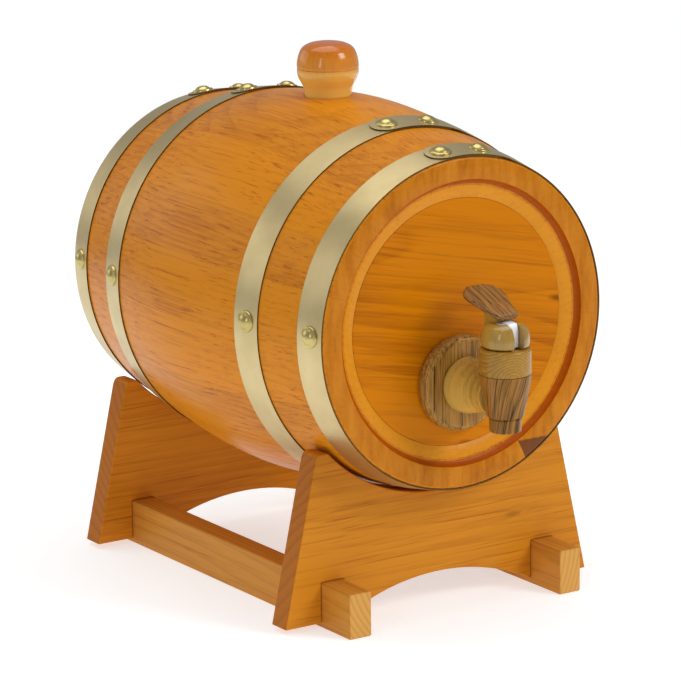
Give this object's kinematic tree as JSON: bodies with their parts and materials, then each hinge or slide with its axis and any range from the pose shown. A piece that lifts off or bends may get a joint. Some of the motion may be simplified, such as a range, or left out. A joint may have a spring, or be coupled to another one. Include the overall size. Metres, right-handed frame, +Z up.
{
  "type": "wooden barrel",
  "caption": "Small staved wooden keg lying on a wooden cradle, with brass hoops, a turned bung on top and a turned wooden tap in its front head.",
  "frame": {"origin": "on the table, under the middle of the whole object", "axes": "+Z up, the keg lies along Y with its tap towards -Y, +X to the right of someone facing the tap"},
  "size_m": [0.18, 0.2662, 0.2513],
  "materials": {
    "stave_wood": "gloss lacquer",
    "dark_stave_wood": "gloss lacquer",
    "head_wood": "gloss lacquer",
    "hoop_brass": "satin, clear lacquered",
    "fastener_brass": "polished",
    "bung_wood": "gloss lacquer",
    "stand_wood": "satin lacquer",
    "tap_dark_wood": "satin lacquer, strongly streaked",
    "tap_light_wood": "gloss lacquer",
    "white_plastic": "gloss"
  },
  "bodies": {
    "stand": {"cradle_back": "stand_wood", "cradle_front": "stand_wood", "rail_left": "stand_wood", "rail_right": "stand_wood"},
    "barrel": {"head_back_bottom": "head_wood", "head_back_middle": "head_wood", "head_back_top": "head_wood", "head_front_bottom": "head_wood", "head_front_middle": "head_wood", "head_front_top": "head_wood", "hoop_back_quarter": "hoop_brass", "hoop_back_rim": "hoop_brass", "hoop_front_quarter": "hoop_brass", "hoop_front_rim": "hoop_brass", "nail_back_quarter_1": "fastener_brass", "nail_back_quarter_2": "fastener_brass", "nail_back_rim_1": "fastener_brass", "nail_back_rim_2": "fastener_brass", "nail_front_quarter_1": "fastener_brass", "nail_front_quarter_2": "fastener_brass", "nail_front_rim_1": "fastener_brass", "nail_front_rim_2": "fastener_brass", "rivet_back_quarter_1": "fastener_brass", "rivet_back_quarter_2": "fastener_brass", "rivet_back_rim_1": "fastener_brass", "rivet_back_rim_2": "fastener_brass", "rivet_front_quarter_1": "fastener_brass", "rivet_front_quarter_2": "fastener_brass", "rivet_front_rim_1": "fastener_brass", "rivet_front_rim_2": "fastener_brass", "stave_01": "stave_wood", "stave_02": "dark_stave_wood", "stave_03": "stave_wood", "stave_04": "stave_wood", "stave_05": "stave_wood", "stave_06": "stave_wood", "stave_07": "stave_wood", "stave_08": "stave_wood", "stave_09": "stave_wood", "stave_10": "stave_wood", "stave_11": "stave_wood", "stave_12": "stave_wood", "stave_13": "stave_wood", "stave_14": "stave_wood", "stave_15": "stave_wood", "stave_16": "stave_wood", "stave_17": "stave_wood"},
    "bung": {"bung": "bung_wood"},
    "tap": {"tap_rosette": "tap_dark_wood", "tap_neck": "tap_light_wood", "tap_body": "tap_dark_wood", "tap_collar": "tap_light_wood"},
    "tap_key": {"tap_plug": "white_plastic", "tap_knob": "tap_light_wood", "tap_handle": "tap_dark_wood"}
  },
  "joints": [
    {"name": "barrel_lift", "type": "slide", "parent": "stand", "child": "barrel", "axis": [0, 0, 1], "range_m": [0, 0.05]},
    {"name": "bung_pull", "type": "slide", "parent": "barrel", "child": "bung", "axis": [0, 0, 1], "range_m": [0, 0.04]},
    {"name": "tap_pull", "type": "slide", "parent": "barrel", "child": "tap", "axis": [0, -1, 0], "range_m": [0, 0.035]},
    {"name": "tap_key_turn", "type": "hinge", "parent": "tap", "child": "tap_key", "pos_m": [0, -0.12137, 0.1091], "axis": [0, 0, 1], "continuous": true}
  ]
}
